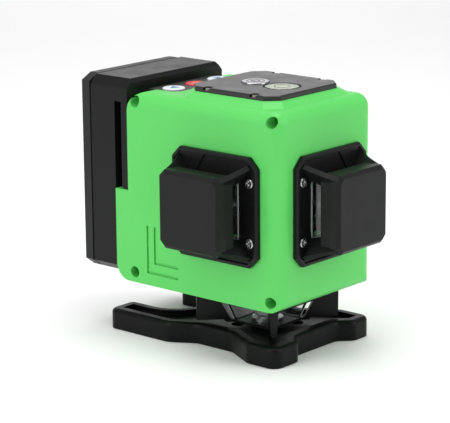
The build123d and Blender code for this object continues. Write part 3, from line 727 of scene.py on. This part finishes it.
class LEVEL_OT_pendulum(Operator):
    """Finishes the gimbal, the pendulum and its laser barrels"""

    bl_idname = "level.pendulum"
    bl_label = "Pendulum"

    def execute(self, context):
        alloy = worked_metal("milled aluminium", (0.70, 0.71, 0.73), 0.34, (0.15, 1.0, 1.0))
        coat(alloy, "gimbal_bracket", "gimbal_ring", "pendulum_block",
             "front_laser_barrel", "side_laser_barrel")
        brass = worked_metal("turned brass", (0.74, 0.56, 0.28), 0.24, (0.2, 1.0, 1.0))
        coat(brass, "bottom_laser_barrel", "balance_weights")
        ring = worked_metal("bearing steel", (0.75, 0.75, 0.77), 0.16, NO_LAY)
        coat(ring, "roll_bearings", "pitch_bearings")
        nickel = worked_metal("nickel plate", (0.68, 0.66, 0.62), 0.18, NO_LAY)
        coat(nickel, "damper_magnet")
        return {"FINISHED"}


class LEVEL_OT_battery(Operator):
    """Finishes the battery case and its cells"""

    bl_idname = "level.battery"
    bl_label = "Battery"

    def execute(self, context):
        look = context.scene.level_plastic
        black = moulded_plastic("battery black", look.battery, 0.36, look.grain, look.softness,
                                specular=0.18, relief=0.3)
        coat(black, "battery_front_shell")
        rear = moulded_plastic("battery cover black", shade(look.battery, 2.6), 0.4,
                               look.grain, look.softness, specular=0.22, relief=0.35)
        coat(rear, "battery_rear_cover")
        sleeve = moulded_plastic("cell sleeve", (0.02, 0.12, 0.22), 0.3, 0.0008, 0.0003)
        coat(sleeve, "battery_cells")
        return {"FINISHED"}


class LEVEL_OT_stand(Operator):
    """Finishes the stand and its rubber feet"""

    bl_idname = "level.stand"
    bl_label = "Stand"

    def execute(self, context):
        look = context.scene.level_plastic
        black = moulded_plastic("stand black", look.stand, 0.36, look.grain * 1.3,
                                look.softness * 1.5, specular=0.14, relief=0.3)
        coat(black, "stand_moulding")
        coat(soft_rubber("foot rubber", (0.02, 0.02, 0.02), 0.75), "rubber_feet")
        return {"FINISHED"}


class LEVEL_OT_stage(Operator):
    """Makes the floor, the soft lights and the camera"""

    bl_idname = "level.stage"
    bl_label = "Studio"

    def execute(self, context):
        setup = context.scene.level_stage
        self.floor(setup)
        self.room(context, setup)
        self.lights(context, setup)
        self.camera(context, setup)
        context.scene.view_settings.view_transform = "Standard"
        return {"FINISHED"}

    def floor(self, setup):
        """A wide, pale, plain floor at the height of the stand's feet."""
        mesh = bpy.data.meshes.new("studio_floor")
        grown = bmesh.new()
        bmesh.ops.create_grid(grown, x_segments=FLOOR_CELLS, y_segments=FLOOR_CELLS,
                              size=FLOOR_HALF)
        grown.to_mesh(mesh)
        grown.free()
        floor = bpy.data.objects.new("studio_floor", mesh)
        bpy.context.scene.collection.objects.link(floor)
        material, tree, shader = blank_material("painted board")
        roller = object_noise(tree, ROLLER_SCALE, 4.0)
        tone = two_tones(tree, roller, shade(setup.floor, 0.995), setup.floor)
        tree.links.new(tone, shader.inputs["Base Color"])
        tree.links.new(spread(tree, roller, 0.75, 0.85), shader.inputs["Roughness"])
        shader.inputs["Specular IOR Level"].default_value = 0.15
        mesh.materials.append(material)

    def room(self, context, setup):
        """Even white light from all round."""
        world = bpy.data.worlds.new("studio_room")
        world.use_nodes = True
        background = world.node_tree.nodes["Background"]
        background.inputs["Color"].default_value = (1.0, 1.0, 1.0, 1.0)
        background.inputs["Strength"].default_value = setup.room
        context.scene.world = world

    def lights(self, context, setup):
        """Four soft area lights, each aimed at the middle of the level."""
        aim = Vector(LIGHT_AIM)
        for name, place, size, power in (
                ("left_softbox", (-0.95, 0.25, 0.55), 0.7, setup.side_light),
                ("right_softbox", (0.35, -0.95, 0.55), 0.7, setup.side_light),
                ("back_softbox", (0.85, 0.80, 0.42), 0.8, setup.back_light),
                ("overhead_softbox", (0.0, 0.1, 1.2), 0.9, setup.top_light)):
            lamp = bpy.data.lights.new(name, "AREA")
            lamp.shape = "SQUARE"
            lamp.size = size
            lamp.energy = power
            light = bpy.data.objects.new(name, lamp)
            light.location = place
            light.rotation_euler = (aim - Vector(place)).to_track_quat("-Z", "Y").to_euler()
            context.scene.collection.objects.link(light)

    def camera(self, context, setup):
        """A long lens at the set place, bearing, height and roll."""
        az, el, roll = setup.azimuth, setup.elevation, setup.roll
        right = Vector((math.cos(az), math.sin(az), 0))
        back = Vector((math.sin(az) * math.cos(el), -math.cos(az) * math.cos(el), math.sin(el)))
        up = back.cross(right)
        x_axis = right * math.cos(roll) + up * math.sin(roll)
        y_axis = -right * math.sin(roll) + up * math.cos(roll)
        lens = bpy.data.cameras.new("studio_camera")
        lens.sensor_fit = "HORIZONTAL"
        lens.sensor_width = SENSOR_WIDTH
        lens.lens = setup.lens
        lens.clip_start, lens.clip_end = CLIP
        camera = bpy.data.objects.new("studio_camera", lens)
        camera.matrix_world = frame_matrix(setup.place, x_axis, y_axis, back)
        context.scene.collection.objects.link(camera)
        context.scene.camera = camera


PIECE_OPERATORS = (
    LEVEL_OT_housing,
    LEVEL_OT_hoods,
    LEVEL_OT_glass,
    LEVEL_OT_cover,
    LEVEL_OT_keypad,
    LEVEL_OT_fasteners,
    LEVEL_OT_pendulum,
    LEVEL_OT_battery,
    LEVEL_OT_stand,
    LEVEL_OT_stage,
)


class LEVEL_PT_pieces(Panel):
    """Lists the level's pieces and settings"""

    bl_label = "Laser level"
    bl_idname = "LEVEL_PT_pieces"
    bl_space_type = "VIEW_3D"
    bl_region_type = "UI"
    bl_category = "Laser level"

    def draw(self, context):
        layout = self.layout
        column = layout.column(align=True)
        for operator in PIECE_OPERATORS:
            column.operator(operator.bl_idname)
        scene = context.scene
        for group in (scene.level_plastic, scene.level_marks, scene.level_stage):
            box = layout.box()
            for name in group.bl_rna.properties.keys():
                if name not in ("rna_type", "name"):
                    box.prop(group, name)


SETTINGS = (
    ("level_plastic", LevelPlasticSettings),
    ("level_marks", LevelMarkSettings),
    ("level_stage", LevelStageSettings),
)


def register():
    for name, group in SETTINGS:
        bpy.utils.register_class(group)
        setattr(bpy.types.Scene, name, PointerProperty(type=group))
    for operator in PIECE_OPERATORS:
        bpy.utils.register_class(operator)
    bpy.utils.register_class(LEVEL_PT_pieces)


def unregister():
    bpy.utils.unregister_class(LEVEL_PT_pieces)
    for operator in reversed(PIECE_OPERATORS):
        bpy.utils.unregister_class(operator)
    for name, group in reversed(SETTINGS):
        delattr(bpy.types.Scene, name)
        bpy.utils.unregister_class(group)


def main():
    register()
    bpy.ops.level.housing()
    bpy.ops.level.hoods()
    bpy.ops.level.glass()
    bpy.ops.level.cover()
    bpy.ops.level.keypad()
    bpy.ops.level.fasteners()
    bpy.ops.level.pendulum()
    bpy.ops.level.battery()
    bpy.ops.level.stand()
    bpy.ops.level.stage()


if __name__ == "__main__":
    main()
